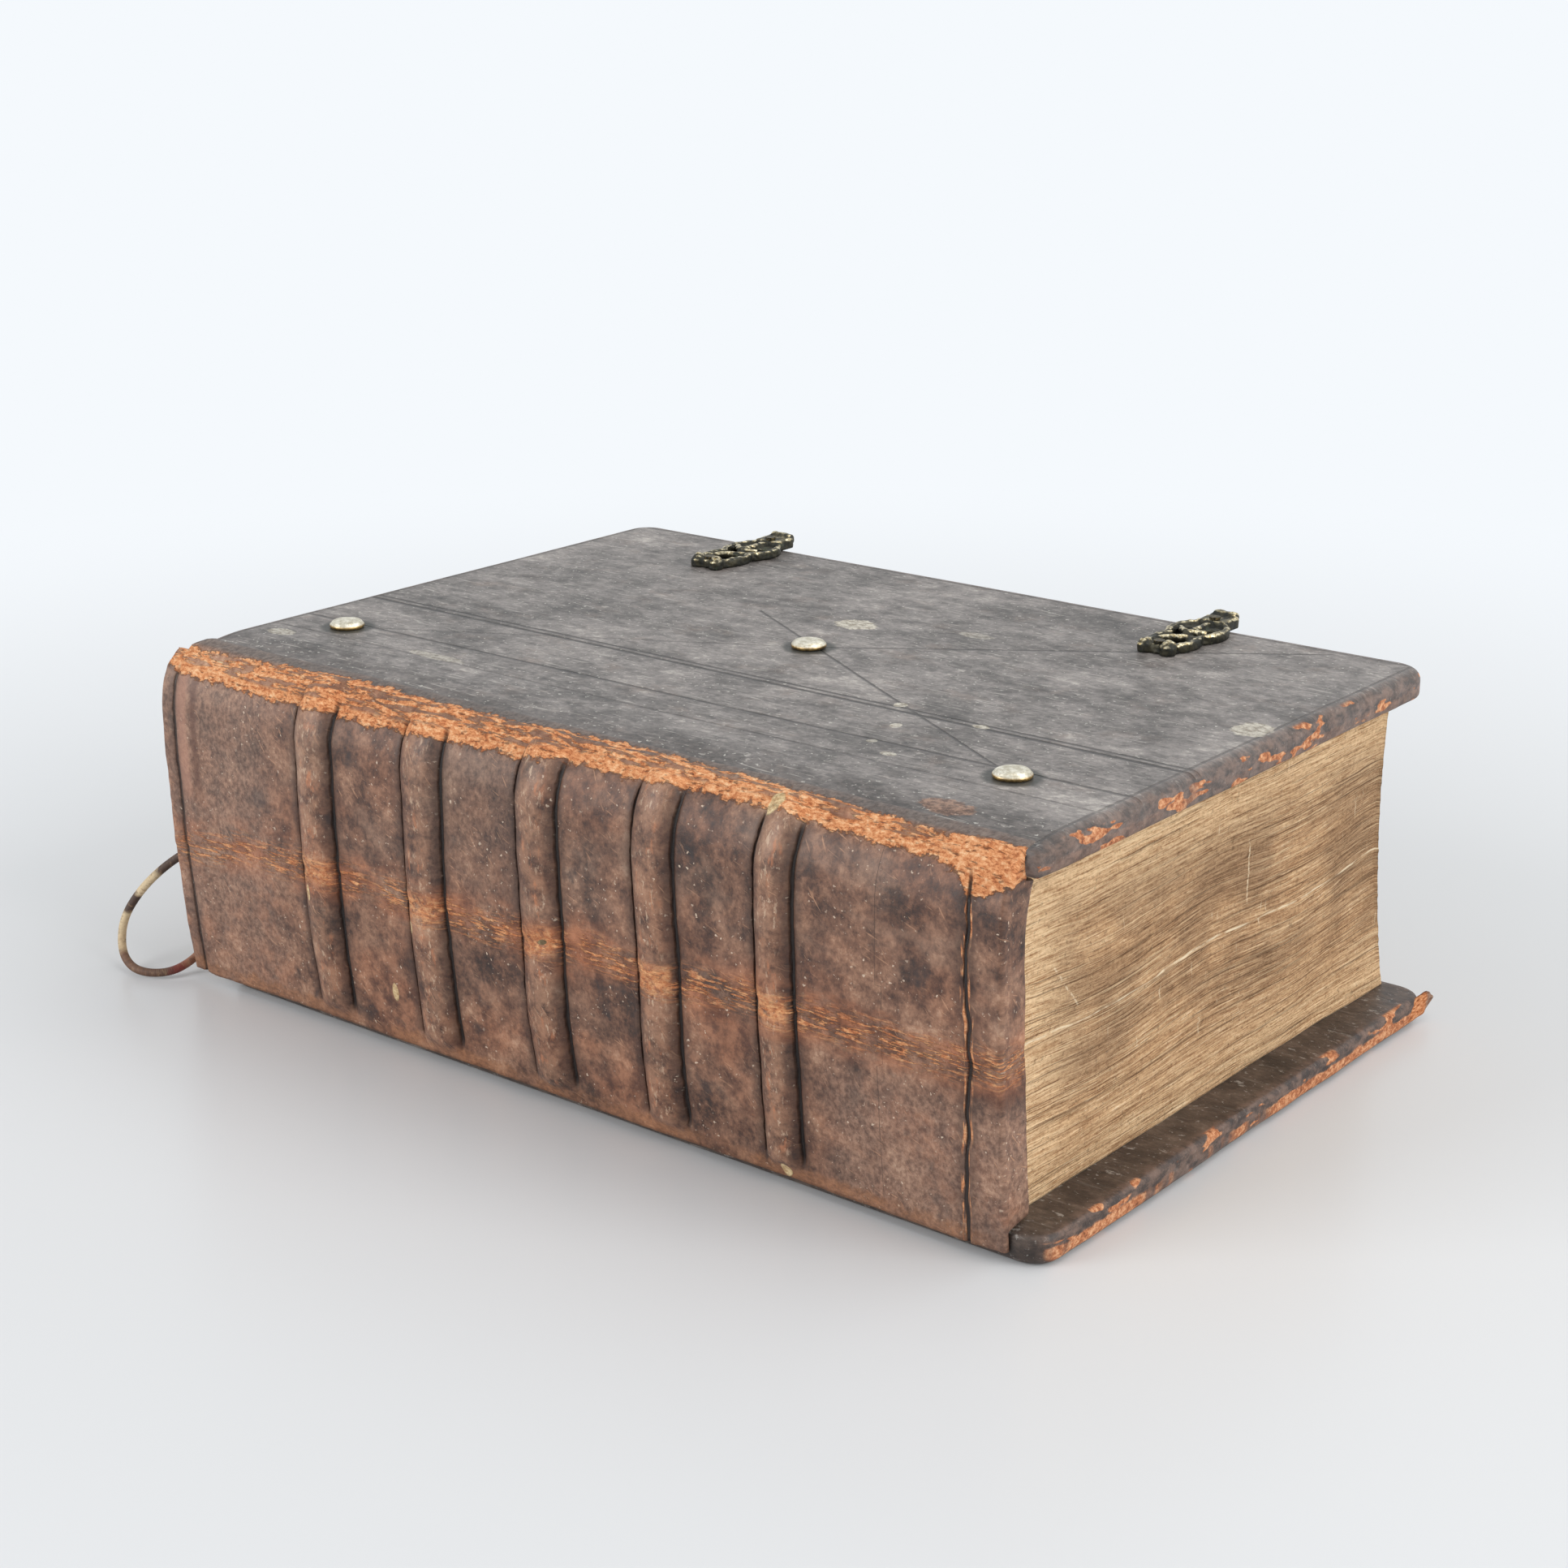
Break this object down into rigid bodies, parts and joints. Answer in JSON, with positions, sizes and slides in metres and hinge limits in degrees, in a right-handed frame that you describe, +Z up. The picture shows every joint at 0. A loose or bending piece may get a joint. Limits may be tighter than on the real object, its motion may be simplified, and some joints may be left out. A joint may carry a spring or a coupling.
{
  "type": "antique bible",
  "caption": "Thick old book in leather over wooden boards, with a raised-band spine, brass bosses and pierced clasp catches. Its covers open on leather joints.",
  "frame": {"origin": "on the table under the middle of the closed book", "axes": "+X along the spine from head to tail, +Y from the spine to the fore-edge, +Z up"},
  "size_m": [0.3393, 0.222, 0.1127],
  "materials": {
    "cover_leather": "dark worn calf, satin, blind-tooled",
    "spine_leather": "mottled brown calf, worn orange at the joints",
    "pages": "rag paper, matt, browned at the edges",
    "paste_paper": "rag paper, matt",
    "board_wood": "raw beech",
    "hemp": "twisted hemp cord",
    "thread": "thread wound in pale and dark bands",
    "brass": "cast brass with a dark green-brown patina"
  },
  "bodies": {
    "lower_cover": {"lower_board": "board_wood", "lower_cover_leather": "cover_leather", "lower_pastedown": "paste_paper", "lower_lacing": "hemp", "lower_pegs": "board_wood"},
    "text_block": {"text_block": "pages", "spine_leather": "spine_leather", "tailband": "thread", "loose_headband": "thread", "sewing_cord_1": "hemp", "sewing_cord_2": "hemp", "sewing_cord_3": "hemp", "sewing_cord_4": "hemp", "sewing_cord_5": "hemp"},
    "upper_cover": {"upper_board": "board_wood", "upper_cover_leather": "cover_leather", "upper_pastedown": "paste_paper", "upper_lacing": "hemp", "upper_pegs": "board_wood", "catch_nails": "brass", "head_boss": "brass", "centre_boss": "brass", "tail_boss": "brass", "head_catch": "brass", "tail_catch": "brass"}
  },
  "joints": [
    {"name": "lower_joint", "type": "hinge", "parent": "lower_cover", "child": "text_block", "pos_m": [0, -0.10049, 0.0032], "axis": [1, 0, 0], "range_deg": [0, 75]},
    {"name": "upper_joint", "type": "hinge", "parent": "text_block", "child": "upper_cover", "pos_m": [0, -0.0973, 0.1063], "axis": [1, 0, 0], "range_deg": [0, 112]}
  ]
}
